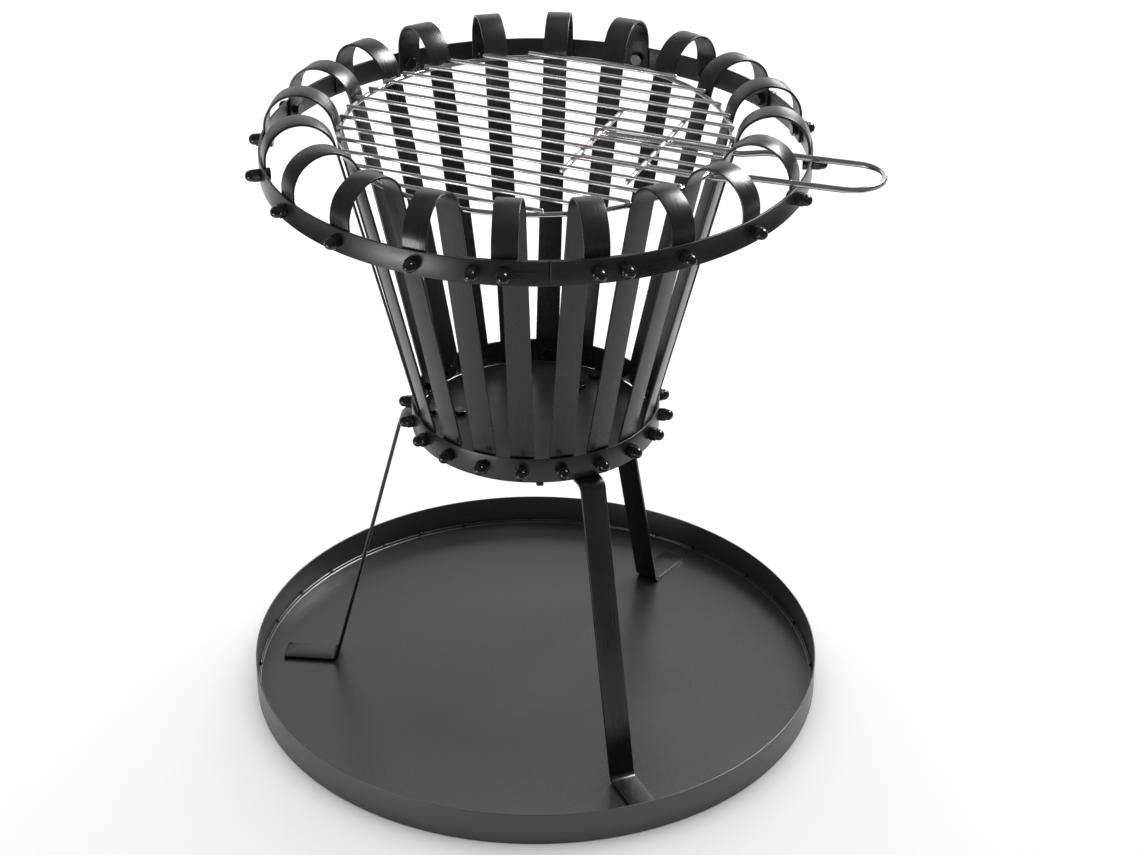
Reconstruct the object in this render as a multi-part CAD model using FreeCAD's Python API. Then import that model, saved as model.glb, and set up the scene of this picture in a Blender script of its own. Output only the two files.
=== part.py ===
import FreeCAD, Part

import math
import os

# Fire pit with a lift-off cooking grate, standing in a loose ash tray.
# Millimetres, +Z up.  The origin is the centre of the tray's underside.
# Azimuths are in degrees from +X, anticlockwise seen from above.

V = FreeCAD.Vector

# ---- driving dimensions -------------------------------------------------

TRAY_R = 248.0               # outer radius of the ash tray
TRAY_HEIGHT = 29.0
TRAY_SHEET = 1.2

RING_R = 221.0               # outer radius of the upper ring
RING_TOP = 513.0
RING_BAR = (20.0, 2.0)       # height, thickness
SPLICE_AZIMUTHS = (-105.5, -69.0)
SPLICE_BOLT_AZIMUTHS = (-102.0, -72.5)
RING_SPLIT = 0.6             # butt gap between the ring's two ends

BAND_R = 104.6               # outer radius of the lower band
BAND_BOTTOM = 256.3
BAND_BAR = (22.0, 2.0)

STRAP_COUNT = 20
STRAP_FIRST_AZIMUTH = 12.0
STRAP_BAR = (20.0, 2.0)      # width, thickness
STRAP_BOTTOM = 258.0
STRAP_KNEE_Z = 281.0         # the strap leans outward from here up
STRAP_KNEE_R = 12.0
STRAP_CURL_R = 28.6          # centre-line radius of the curl over the top
STRAP_CURL_Z = 517.3         # height of the curl's centre
STRAP_TIP_Z = 494.5

PLATE_R = 99.8
PLATE_SHEET = 2.0
PLATE_LUG = (6.0, 3.0, 105.5)    # width, drop, reach from the axis
PLATE_LUG_AZIMUTHS = (-88.0, 32.0, 152.0)

LEG_AZIMUTHS = (-66.0, 54.0, 174.0)
LEG_BAR = (22.0, 3.0)
LEG_TAB_R = 50.0             # inner end of the tab under the base plate
LEG_KNEE_R = 114.0           # radius from the axis where the leg turns down
LEG_ANKLE_R = 179.0          # radius from the axis where the foot turns out
LEG_TOE_R = 226.0
LEG_BEND_R = 6.5
LEG_BOLT_RADII = (64.0, 88.0)

GRATE_AZIMUTH = -23.0        # the wires point this way
HANDLE_AZIMUTH = -21.0       # the handle stands slightly askew to them
GRATE_RIM_R = 156.5
GRATE_RIM_Z = 520.5
GRATE_RIM_WIRE = 4.0         # diameters of the grate's rods
GRATE_WIRE = 3.2
GRATE_HANDLE_WIRE = 5.0
GRATE_WIRE_COUNT = 15
GRATE_WIRE_PITCH = 20.4
GRATE_REACH = 159.2          # no wire end stands further from the axis
CROSSBAR_OFFSETS = (49.0, 103.0)
CROSSBAR_HALF = 64.0
HANDLE_HALF_WIDTH = 25.1
HANDLE_INNER_END = 42.0
HANDLE_KINK = 160.0          # just outside the rim the handle steps up over the ring
HANDLE_KINK_R = 30.0
HANDLE_STEP = (12.0, 15.0)   # angle in degrees and length of the steep run
HANDLE_RISE = 1.7            # degrees, from the step to the loop
HANDLE_END = 284.5           # the loop's furthest centre-line point

# M6 fasteners
BOLT_R = 3.0
BOLT_HOLE_R = 3.25
HEX_ACROSS_FLATS = 10.0
HEAD_HEIGHT = 4.0
NUT_BORE_R = 3.05
CAP_HEX_HEIGHT = 6.0
CAP_DOME_R = 4.7
CAP_NECK = 1.4               # straight part of the cap between hex and dome
CAP_BORE_DEPTH = 8.0
PLAIN_NUT_HEIGHT = 5.0
SHANK_PAST_NUT = 1.5

# ---- sizes that follow --------------------------------------------------

RING_MID_Z = RING_TOP - RING_BAR[0] / 2
RING_INNER_R = RING_R - RING_BAR[1]
BAND_MID_Z = BAND_BOTTOM + BAND_BAR[0] / 2
BAND_INNER_R = BAND_R - BAND_BAR[1]
STRAP_PITCH = 360.0 / STRAP_COUNT
STRAP_AZIMUTHS = [STRAP_FIRST_AZIMUTH + STRAP_PITCH * i for i in range(STRAP_COUNT)]
PLATE_BOTTOM = BAND_BOTTOM
HANDLE_Z = GRATE_RIM_Z - GRATE_RIM_WIRE / 2 - GRATE_HANDLE_WIRE / 2
WIRE_Z = GRATE_RIM_Z + GRATE_RIM_WIRE / 2 + GRATE_WIRE / 2


# ---- helpers ------------------------------------------------------------

def flat_behind_curve(radius, half_width):
    """Distance from the axis of a flat face whose edges touch a cylinder's inside."""
    return math.sqrt(radius ** 2 - half_width ** 2)


def turned(shape, azimuth):
    """The shape turned about the vertical axis."""
    copy = shape.copy()
    copy.rotate(V(0, 0, 0), V(0, 0, 1), azimuth)
    return copy


def hoop(outer_r, inner_r, bottom, height):
    """A round band standing on its edge."""
    outer = Part.makeCylinder(outer_r, height, V(0, 0, bottom))
    inner = Part.makeCylinder(inner_r, height, V(0, 0, bottom))
    return outer.cut(inner)


def sector(radius, bottom, height, start, stop):
    """A pie slice between two azimuths."""
    slice_ = Part.makeCylinder(radius, height, V(0, 0, bottom), V(0, 0, 1), stop - start)
    return turned(slice_, start)


def radial_holes(azimuths, z, reach):
    """Bolt holes that point straight out from the axis."""
    hole = Part.makeCylinder(BOLT_HOLE_R, reach, V(0, 0, z), V(1, 0, 0))
    return [turned(hole, azimuth) for azimuth in azimuths]


def bent_edges(start, heading, moves, side=0.0):
    """Edges of a line bent in the vertical plane through the X axis, and its end.

    start is the centre line's first point (r, z) and heading its first direction in
    degrees from +X.  moves is a list of ("run", length) and ("bend", radius, angle),
    where a positive angle bends to the left.  The edges run to the left of the centre
    line by side, and the end is the centre line's last (r, z, direction).
    """
    r, z = start
    angle = math.radians(heading)
    edges = []

    def offset_point(r, z, angle):
        return V(r - math.sin(angle) * side, 0, z + math.cos(angle) * side)

    for move in moves:
        if move[0] == "run":
            begin = offset_point(r, z, angle)
            r += math.cos(angle) * move[1]
            z += math.sin(angle) * move[1]
            edges.append(Part.LineSegment(begin, offset_point(r, z, angle)).toShape())
            continue
        radius = move[1]
        turn = math.radians(move[2])
        hand = math.copysign(1.0, turn)
        centre_r = r - math.sin(angle) * radius * hand
        centre_z = z + math.cos(angle) * radius * hand
        reach = radius * hand - side
        points = []
        for share in (0.0, 0.5, 1.0):
            a = angle + turn * share
            points.append(V(centre_r + math.sin(a) * reach, 0, centre_z - math.cos(a) * reach))
        edges.append(Part.Arc(*points).toShape())
        angle += turn
        r = centre_r + math.sin(angle) * radius * hand
        z = centre_z - math.cos(angle) * radius * hand
    return edges, (r, z, angle)


def bent_bar(start, heading, moves, width, thickness):
    """A flat bar bent in the vertical plane through the X axis, as bent_edges says."""
    first, _ = bent_edges(start, heading, moves, thickness / 2)
    second, _ = bent_edges(start, heading, moves, -thickness / 2)
    start_cap = Part.LineSegment(first[0].Vertexes[0].Point, second[0].Vertexes[0].Point)
    end_cap = Part.LineSegment(first[-1].Vertexes[-1].Point, second[-1].Vertexes[-1].Point)
    edges = first + second + [start_cap.toShape(), end_cap.toShape()]
    face = Part.Face(Part.Wire(Part.__sortEdges__(edges)))
    bar = face.extrude(V(0, width, 0))
    bar.translate(V(0, -width / 2, 0))
    return bar


def hexagon(start, height):
    """A hexagonal prism along +X that starts at x = start, with two flats level."""
    corner_r = HEX_ACROSS_FLATS / math.sqrt(3)
    corners = []
    for i in range(7):
        a = math.radians(60 * i)
        corners.append(V(start, corner_r * math.cos(a), corner_r * math.sin(a)))
    prism = Part.Face(Part.makePolygon(corners)).extrude(V(height, 0, 0))
    # a 30 degree chamfer turns the corners off both end faces
    half = height / 2
    edge_r = HEX_ACROSS_FLATS / 2
    middle_r = edge_r + half / math.tan(math.radians(30))
    left = Part.makeCone(edge_r, middle_r, half, V(start, 0, 0), V(1, 0, 0))
    right = Part.makeCone(middle_r, edge_r, half, V(start + half, 0, 0), V(1, 0, 0))
    return prism.common(left.fuse(right))


def hex_bolt(head_face, shank_end):
    """A bolt along +X: its head lies inward of x = head_face."""
    head = hexagon(head_face - HEAD_HEIGHT, HEAD_HEIGHT)
    shank = Part.makeCylinder(BOLT_R, shank_end - head_face, V(head_face, 0, 0), V(1, 0, 0))
    return head.fuse(shank).removeSplitter()


def cap_nut(seat):
    """A domed cap nut along +X that sits on x = seat."""
    neck_length = CAP_HEX_HEIGHT + CAP_NECK
    body = hexagon(seat, CAP_HEX_HEIGHT)
    neck = Part.makeCylinder(CAP_DOME_R, neck_length, V(seat, 0, 0), V(1, 0, 0))
    dome = Part.makeSphere(CAP_DOME_R, V(seat + neck_length, 0, 0))
    bore = Part.makeCylinder(NUT_BORE_R, CAP_BORE_DEPTH, V(seat, 0, 0), V(1, 0, 0))
    below = Part.makeBox(50, 50, 50, V(seat - 50, -25, -25))
    return body.fuse([neck, dome]).cut([bore, below]).removeSplitter()


def plain_nut(seat):
    """A hexagon nut along +X that sits on x = seat."""
    bore = Part.makeCylinder(NUT_BORE_R, PLAIN_NUT_HEIGHT, V(seat, 0, 0), V(1, 0, 0))
    return hexagon(seat, PLAIN_NUT_HEIGHT).cut(bore)


def rod(start, end, diameter):
    """A straight round rod between two points."""
    along = end - start
    return Part.makeCylinder(diameter / 2, along.Length, start, along)


# ---- ash tray -----------------------------------------------------------

def tray_floor():
    return Part.makeCylinder(TRAY_R - TRAY_SHEET, TRAY_SHEET)


def tray_wall():
    """Strip rolled to a hoop and tacked round the floor's edge."""
    return hoop(TRAY_R, TRAY_R - TRAY_SHEET, 0, TRAY_HEIGHT)


# ---- basket frame -------------------------------------------------------

def upper_ring():
    """Flat bar rolled to a ring, with its two ends butted in front of the splice."""
    bottom = RING_TOP - RING_BAR[0]
    ring = hoop(RING_R, RING_INNER_R, bottom, RING_BAR[0])
    split = Part.makeBox(RING_R, RING_SPLIT, RING_BAR[0], V(0, -RING_SPLIT / 2, bottom))
    split = turned(split, sum(SPLICE_AZIMUTHS) / 2)
    azimuths = STRAP_AZIMUTHS + list(SPLICE_BOLT_AZIMUTHS)
    return ring.cut([split] + radial_holes(azimuths, RING_MID_Z, RING_R + 1))


def at_splice(azimuth):
    """True where a strap is bolted through the splice as well as the ring."""
    signed = (azimuth + 180) % 360 - 180
    return SPLICE_AZIMUTHS[0] < signed < SPLICE_AZIMUTHS[1]


def ring_splice():
    """Curved joint plate inside the ring, across its two ends."""
    bottom = RING_TOP - RING_BAR[0]
    inner_r = RING_INNER_R - RING_BAR[1]
    plate = hoop(RING_INNER_R, inner_r, bottom, RING_BAR[0])
    plate = plate.common(sector(RING_R, bottom, RING_BAR[0], *SPLICE_AZIMUTHS))
    azimuths = [a for a in STRAP_AZIMUTHS if at_splice(a)] + list(SPLICE_BOLT_AZIMUTHS)
    return plate.cut(radial_holes(azimuths, RING_MID_Z, RING_R))


def lower_band():
    band = hoop(BAND_R, BAND_INNER_R, BAND_BOTTOM, BAND_BAR[0])
    return band.cut(radial_holes(STRAP_AZIMUTHS, BAND_MID_Z, BAND_R + 1))


def strap_ring_face(azimuth):
    """Distance from the axis of a strap's outer face where it meets the ring."""
    seat_r = RING_INNER_R - (RING_BAR[1] if at_splice(azimuth) else 0)
    return flat_behind_curve(seat_r, STRAP_BAR[0] / 2)


def strap(azimuth):
    """Flat bar: upright in the band, leaning out, and curled over down to the ring."""
    width, thickness = STRAP_BAR
    foot_r = flat_behind_curve(BAND_INNER_R, width / 2) - thickness / 2
    tip_r = strap_ring_face(azimuth) - thickness / 2
    full_tip_r = flat_behind_curve(RING_INNER_R, width / 2) - thickness / 2
    curl_r = STRAP_CURL_R - (full_tip_r - tip_r) / 2
    # the leaning run is tangent to the curl
    across = tip_r - curl_r - foot_r
    up = STRAP_CURL_Z - STRAP_KNEE_Z
    lean = math.acos(curl_r / math.hypot(across, up)) - math.atan2(up, across)
    run = across * math.sin(lean) + up * math.cos(lean)
    knee = STRAP_KNEE_R * math.tan(lean / 2)
    moves = [
        ("run", STRAP_KNEE_Z - STRAP_BOTTOM - knee),
        ("bend", STRAP_KNEE_R, -math.degrees(lean)),
        ("run", run - knee),
        ("bend", curl_r, math.degrees(lean) - 180),
        ("run", STRAP_CURL_Z - STRAP_TIP_Z),
    ]
    bar = bent_bar((foot_r, STRAP_BOTTOM), 90, moves, width, thickness)
    hole = Part.makeCylinder(BOLT_HOLE_R, 4 * thickness, V(0, 0, 0), V(1, 0, 0))
    hole.translate(V(foot_r - 2 * thickness, 0, BAND_MID_Z))
    ring_hole = Part.makeCylinder(BOLT_HOLE_R, 4 * thickness, V(0, 0, 0), V(1, 0, 0))
    ring_hole.translate(V(tip_r - 2 * thickness, 0, RING_MID_Z))
    return turned(bar.cut([hole, ring_hole]), azimuth)


# ---- base plate and legs ------------------------------------------------

def base_plate():
    """Disc that carries the fire, with three lugs that reach under the band."""
    plate = Part.makeCylinder(PLATE_R, PLATE_SHEET, V(0, 0, PLATE_BOTTOM))
    width, drop, reach = PLATE_LUG
    root = PLATE_R - 2 * drop
    lugs = []
    for azimuth in PLATE_LUG_AZIMUTHS:
        lug = Part.makeBox(reach - root, width, drop, V(root, -width / 2, PLATE_BOTTOM - drop))
        outer_corners = [e for e in lug.Edges if is_lug_corner(e, reach)]
        lug = lug.makeFillet(drop * 0.8, outer_corners)
        lugs.append(turned(lug, azimuth))
    plate = plate.fuse(lugs).removeSplitter()
    return plate.cut(leg_bolt_holes())


def is_lug_corner(edge, reach):
    """True for the two lower edges at a lug's tip that are rounded off."""
    centre = edge.CenterOfMass
    vertical = abs(edge.tangentAt(edge.FirstParameter).z) > 0.9
    return vertical and abs(centre.x - reach) < 0.01


def leg_bolt_holes():
    holes = []
    for azimuth in LEG_AZIMUTHS:
        for radius in LEG_BOLT_RADII:
            hole = Part.makeCylinder(BOLT_HOLE_R, 20, V(radius, 0, PLATE_BOTTOM - 10))
            holes.append(turned(hole, azimuth))
    return holes


def leg(azimuth):
    """Flat bar: a tab under the base plate, a long slanting run and a foot."""
    width, thickness = LEG_BAR
    tab_z = PLATE_BOTTOM - thickness / 2
    foot_z = TRAY_SHEET + thickness / 2
    slope = math.atan2(tab_z - foot_z, LEG_ANKLE_R - LEG_KNEE_R)
    trim = LEG_BEND_R * math.tan(slope / 2)
    length = math.hypot(tab_z - foot_z, LEG_ANKLE_R - LEG_KNEE_R)
    moves = [
        ("run", LEG_KNEE_R - LEG_TAB_R - trim),
        ("bend", LEG_BEND_R, -math.degrees(slope)),
        ("run", length - 2 * trim),
        ("bend", LEG_BEND_R, math.degrees(slope)),
        ("run", LEG_TOE_R - LEG_ANKLE_R - trim),
    ]
    bar = bent_bar((LEG_TAB_R, tab_z), 0, moves, width, thickness)
    return turned(bar, azimuth).cut(leg_bolt_holes())


# ---- fasteners ----------------------------------------------------------

def placed_radially(shape, azimuth, z):
    copy = shape.copy()
    copy.translate(V(0, 0, z))
    return turned(copy, azimuth)


def placed_downward(shape, azimuth, radius):
    """A fastener made along +X, pointed down at a place on the base plate."""
    copy = shape.copy()
    copy.rotate(V(0, 0, 0), V(0, 1, 0), 90)
    copy.translate(V(radius, 0, 0))
    return turned(copy, azimuth)


def ring_bolts():
    solids = []
    shank_end = RING_R + CAP_BORE_DEPTH - 0.5
    for azimuth in STRAP_AZIMUTHS:
        head_face = strap_ring_face(azimuth) - STRAP_BAR[1]
        solids.append(placed_radially(hex_bolt(head_face, shank_end), azimuth, RING_MID_Z))
    splice_face = flat_behind_curve(RING_INNER_R - RING_BAR[1], HEX_ACROSS_FLATS / math.sqrt(3))
    for azimuth in SPLICE_BOLT_AZIMUTHS:
        solids.append(placed_radially(hex_bolt(splice_face, shank_end), azimuth, RING_MID_Z))
    return Part.makeCompound(solids)


def ring_cap_nuts():
    azimuths = STRAP_AZIMUTHS + list(SPLICE_BOLT_AZIMUTHS)
    nut = cap_nut(RING_R)
    return Part.makeCompound([placed_radially(nut, a, RING_MID_Z) for a in azimuths])


def band_bolts():
    head_face = flat_behind_curve(BAND_INNER_R, STRAP_BAR[0] / 2) - STRAP_BAR[1]
    bolt = hex_bolt(head_face, BAND_R + CAP_BORE_DEPTH - 0.5)
    return Part.makeCompound([placed_radially(bolt, a, BAND_MID_Z) for a in STRAP_AZIMUTHS])


def band_cap_nuts():
    nut = cap_nut(BAND_R)
    return Part.makeCompound([placed_radially(nut, a, BAND_MID_Z) for a in STRAP_AZIMUTHS])


def leg_fasteners(shape):
    places = [(a, r) for a in LEG_AZIMUTHS for r in LEG_BOLT_RADII]
    return Part.makeCompound([placed_downward(shape, a, r) for a, r in places])


def leg_bolts():
    """Heads on top of the base plate, shanks down through plate and tab."""
    seat = -(PLATE_BOTTOM + PLATE_SHEET)
    nut_seat = -(PLATE_BOTTOM - LEG_BAR[1])
    return leg_fasteners(hex_bolt(seat, nut_seat + PLAIN_NUT_HEIGHT + SHANK_PAST_NUT))


def leg_nuts():
    return leg_fasteners(plain_nut(-(PLATE_BOTTOM - LEG_BAR[1])))


# ---- cooking grate ------------------------------------------------------

def grate_rim():
    return Part.makeTorus(GRATE_RIM_R, GRATE_RIM_WIRE / 2, V(0, 0, GRATE_RIM_Z))


def grate_wire(offset):
    """One bar of the grate, across the rim and just past it at both ends."""
    half = math.sqrt(GRATE_REACH ** 2 - (abs(offset) + GRATE_WIRE / 2) ** 2)
    wire = rod(V(-half, offset, WIRE_Z), V(half, offset, WIRE_Z), GRATE_WIRE)
    return turned(wire, GRATE_AZIMUTH)


def grate_crossbar(distance):
    """Tie between the handle's rods and the wires above them."""
    start = V(distance, -CROSSBAR_HALF, GRATE_RIM_Z)
    end = V(distance, CROSSBAR_HALF, GRATE_RIM_Z)
    return turned(rod(start, end, GRATE_RIM_WIRE), GRATE_AZIMUTH)


def handle_side(side):
    """One long side of the handle, stepped up outside the rim, and its outer end."""
    steep, steep_run = HANDLE_STEP
    moves = [
        ("run", HANDLE_KINK - HANDLE_INNER_END),
        ("bend", HANDLE_KINK_R, steep),
        ("run", steep_run),
        ("bend", HANDLE_KINK_R, HANDLE_RISE - steep),
    ]
    _, (r, _, angle) = bent_edges((HANDLE_INNER_END, HANDLE_Z), 0, moves)
    moves.append(("run", (HANDLE_END - r) / math.cos(angle) - HANDLE_HALF_WIDTH))
    edges, (r, z, angle) = bent_edges((HANDLE_INNER_END, HANDLE_Z), 0, moves)
    for edge in edges:
        edge.translate(V(0, side * HANDLE_HALF_WIDTH, 0))
    return edges, (r, z, angle)


def grate_handle():
    """One rod bent to a long loop, its two ends welded under the crossbars."""
    left, (r, z, angle) = handle_side(1)
    right, _ = handle_side(-1)
    half = HANDLE_HALF_WIDTH
    tip = V(r + half * math.cos(angle), 0, z + half * math.sin(angle))
    loop = Part.Arc(V(r, half, z), tip, V(r, -half, z)).toShape()
    path = Part.Wire(left + [loop] + right[::-1])
    inner_end = V(HANDLE_INNER_END, half, HANDLE_Z)
    section = Part.makeCircle(GRATE_HANDLE_WIRE / 2, inner_end, V(1, 0, 0))
    handle = path.makePipeShell([Part.Wire(section)], True, True)
    return turned(handle, HANDLE_AZIMUTH)


# ---- build --------------------------------------------------------------

def build():
    parts = {
        "tray_floor": tray_floor(),
        "tray_wall": tray_wall(),
        "upper_ring": upper_ring(),
        "ring_splice": ring_splice(),
        "lower_band": lower_band(),
        "base_plate": base_plate(),
        "ring_bolts": ring_bolts(),
        "ring_cap_nuts": ring_cap_nuts(),
        "band_bolts": band_bolts(),
        "band_cap_nuts": band_cap_nuts(),
        "leg_bolts": leg_bolts(),
        "leg_nuts": leg_nuts(),
        "grate_rim": grate_rim(),
        "grate_handle": grate_handle(),
    }
    for number, azimuth in enumerate(STRAP_AZIMUTHS, start=1):
        parts["strap_%02d" % number] = strap(azimuth)
    for number, azimuth in enumerate(LEG_AZIMUTHS, start=1):
        parts["leg_%d" % number] = leg(azimuth)
    for number in range(GRATE_WIRE_COUNT):
        offset = (number - (GRATE_WIRE_COUNT - 1) / 2) * GRATE_WIRE_PITCH
        parts["grate_wire_%02d" % (number + 1)] = grate_wire(offset)
    for number, distance in enumerate(CROSSBAR_OFFSETS, start=1):
        parts["grate_crossbar_%d" % number] = grate_crossbar(distance)
    return parts


os.makedirs("parts", exist_ok=True)
for node, shape in build().items():
    if not shape.isValid() or shape.Volume <= 0:
        raise RuntimeError(node + " isn't a valid solid")
    shape.exportStep("parts/%s.step" % node)
    print(node, "solids", len(shape.Solids), "volume", round(shape.Volume, 1))
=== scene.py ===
import math
import random

import bmesh
import bpy
from mathutils import Matrix, Vector


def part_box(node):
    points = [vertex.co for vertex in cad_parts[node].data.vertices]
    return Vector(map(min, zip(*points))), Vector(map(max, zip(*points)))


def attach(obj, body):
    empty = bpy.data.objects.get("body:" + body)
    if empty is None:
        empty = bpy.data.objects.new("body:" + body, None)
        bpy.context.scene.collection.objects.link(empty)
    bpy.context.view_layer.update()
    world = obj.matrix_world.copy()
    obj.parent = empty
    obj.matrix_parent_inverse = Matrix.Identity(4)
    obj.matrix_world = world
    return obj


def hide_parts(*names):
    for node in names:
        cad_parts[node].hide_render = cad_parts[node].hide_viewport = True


# Looks of the fire pit: metres, in the frame's own axes.  Azimuths are in degrees
# from +X, anticlockwise seen from above.

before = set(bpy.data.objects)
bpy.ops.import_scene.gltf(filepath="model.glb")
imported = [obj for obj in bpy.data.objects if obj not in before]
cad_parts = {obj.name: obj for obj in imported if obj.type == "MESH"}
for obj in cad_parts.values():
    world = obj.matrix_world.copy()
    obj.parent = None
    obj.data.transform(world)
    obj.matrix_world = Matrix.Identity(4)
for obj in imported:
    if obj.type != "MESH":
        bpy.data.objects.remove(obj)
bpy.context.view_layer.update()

# ---- sizes read from the frame ------------------------------------------


def round_size(node):
    """Outer radius, bottom and top of a round node that stands on the axis."""
    low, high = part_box(node)
    return (high.y - low.y) / 2, low.z, high.z


TRAY_R, TRAY_BOTTOM, TRAY_TOP = round_size("tray_wall")
FLOOR_R, _, FLOOR_TOP = round_size("tray_floor")
RING_R, RING_BOTTOM, RING_TOP = round_size("upper_ring")
BAND_R, BAND_BOTTOM, BAND_TOP = round_size("lower_band")
RIM_OUTER_R, RIM_BOTTOM, RIM_TOP = round_size("grate_rim")
_, PLATE_LUG_BOTTOM, PLATE_TOP = round_size("base_plate")
STRAP_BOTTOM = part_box("strap_01")[0].z
WIRE_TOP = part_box("grate_wire_01")[1].z

# ---- sizes the frame's boxes don't give ---------------------------------

TRAY_SHEET = 0.0012
TRAY_LIP = 0.0034            # the floor's edge is turned up this far inside the wall
TRAY_LIP_R = 0.0016
FLOOR_LIFT = 0.0001          # the floor sheet clears the wall's lower edge by this
TACK_COUNT = 28
TACK_SCATTER = 3.5           # degrees either way from an even spacing
TACK_SIZES = (0.0015, 0.0024)
TACK_INSET = 0.0008          # a tack's centre inside the floor's edge, and above its lip
TACK_RISE = 0.0010
TACK_FLATNESS = 0.8          # height of a tack against its width
TRAY_SEGMENTS = 240          # round the disc
WALL_CORNER = 0.0004

FLAT_BAR = (0.020, 0.002)    # width and thickness of straps and upper ring
BAND_BAR = (0.022, 0.002)
LEG_BAR = (0.022, 0.003)
BAR_CORNER = 0.00045         # rounding of a bar's long edges
RING_END = 0.0005            # rounding of its cut ends
STRAP_END = 0.0006
LEG_CORNER = 0.0006
LEG_END = 0.0008
HOOP_WAVE = 0.00012          # rolled hoops are this far from truly round
BAND_WAVE = 0.0001
DISC_MIDDLE_R = 0.004        # a disc's mesh ends in a flat face of this radius

SPLICE_AZIMUTHS = (-105.5, -69.0)
SPLICE_BOLT_AZIMUTHS = (-102.0, -72.5)
RING_SPLIT = 0.0006

STRAP_COUNT = 20
STRAP_FIRST_AZIMUTH = 12.0
STRAP_KNEE_Z = 0.281
STRAP_KNEE_R = 0.012
STRAP_CURL_R = 0.0286
STRAP_CURL_Z = 0.5173
STRAP_TIP_Z = 0.4945
STRAP_FREE_Z = 0.532         # above this the hand-bent curls differ a little
CURL_LIFT = (-0.0008, 0.0004)
CURL_SWAY = (-0.0008, 0.0008)
CURL_PUSH = (-0.0006, 0.0006)

PLATE_R = 0.0998
PLATE_SHEET = 0.002
PLATE_EDGE = 0.0004          # chamfer
PLATE_SEGMENTS = 120
LUG_CORNER = 0.0009
LUG_END = 0.0012
LUG_SINK = 0.0001            # the lugs sink into the disc by this
PLATE_LUG = (0.006, 0.1055)  # width, reach from the axis
PLATE_LUG_AZIMUTHS = (-88.0, 32.0, 152.0)

LEG_AZIMUTHS = (-66.0, 54.0, 174.0)
LEG_TAB_R = 0.050
LEG_KNEE_R = 0.114
LEG_ANKLE_R = 0.179
LEG_TOE_R = 0.226
LEG_BEND_R = 0.0065
LEG_BOLT_RADII = (0.064, 0.088)

GRATE_AZIMUTH = -23.0
HANDLE_AZIMUTH = -21.0
RIM_WIRE = 0.004             # diameters of the grate's rods
GRATE_WIRE = 0.0032
HANDLE_WIRE = 0.005
WIRE_COUNT = 15
WIRE_PITCH = 0.0204
GRATE_REACH = 0.1592
CROSSBAR_OFFSETS = (0.049, 0.103)
CROSSBAR_HALF = 0.064
HANDLE_HALF_WIDTH = 0.0251
HANDLE_INNER_END = 0.042
HANDLE_KINK = 0.160
HANDLE_KINK_R = 0.030
HANDLE_STEP = (12.0, 0.015)  # angle in degrees and length of the steep run
HANDLE_RISE = 1.7            # degrees
HANDLE_END = 0.2845

SHANK_R = 0.003              # M6 fasteners
HEX_FLATS = 0.010
HEX_FACE_SHARE = 0.95        # of the width across flats, left flat on a hexagon's face
HEX_MIDDLE_R = 0.0005        # a hexagon's mesh ends in a flat face of this radius
HEAD_HEIGHT = 0.004
CAP_HEX_HEIGHT = 0.006
CAP_NECK = 0.0014
CAP_DOME_R = 0.0047
PLAIN_NUT_HEIGHT = 0.005
SHANK_PAST_NUT = 0.0015
SHANK_PAST_HOOP = 0.0075     # ring and band shanks end inside their cap nuts
SHANK_CHAMFER = 0.0006
CAP_FILLET = (0.0004, 0.00025)   # height and width, where hexagon and neck meet
CAP_TIP = (0.9995, 0.03)     # height and radius of a dome's last ring, in dome radii

GRATE_WELD = 0.0021          # half-widths of the beads
HANDLE_WELD = 0.0026
WELD_FLATNESS = 0.62         # height of a bead against its width
ROD_ROUNDING = 0.3           # how far a rod's ends are rounded, in diameters

CAMERA_PLACE = (0, -1.9278, 1.3536)
CAMERA_DIP = 29.83           # degrees below level
CAMERA_LENS = 82.7           # millimetres, on a sensor 36 wide
CAMERA_SENSOR = 36.0
CAMERA_SHIFT = 0.0303
STAGE_FLOOR_Z = -0.0006      # just clear of the tray's underside

# ---- sizes that follow --------------------------------------------------

RING_INNER_R = RING_R - FLAT_BAR[1]
RING_MID_Z = (RING_BOTTOM + RING_TOP) / 2
BAND_INNER_R = BAND_R - BAND_BAR[1]
BAND_MID_Z = (BAND_BOTTOM + BAND_TOP) / 2
STRAP_AZIMUTHS = [STRAP_FIRST_AZIMUTH + 360 / STRAP_COUNT * i for i in range(STRAP_COUNT)]
PLATE_BOTTOM = PLATE_TOP - PLATE_SHEET
RIM_R = RIM_OUTER_R - RIM_WIRE / 2
RIM_Z = (RIM_BOTTOM + RIM_TOP) / 2
WIRE_Z = WIRE_TOP - GRATE_WIRE / 2
HANDLE_Z = RIM_BOTTOM - HANDLE_WIRE / 2
UP = Vector((0, 0, 1))


def radial(azimuth):
    """Unit vector straight out from the axis."""
    a = math.radians(azimuth)
    return Vector((math.cos(a), math.sin(a), 0))


# ---- mesh building ------------------------------------------------------

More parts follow.
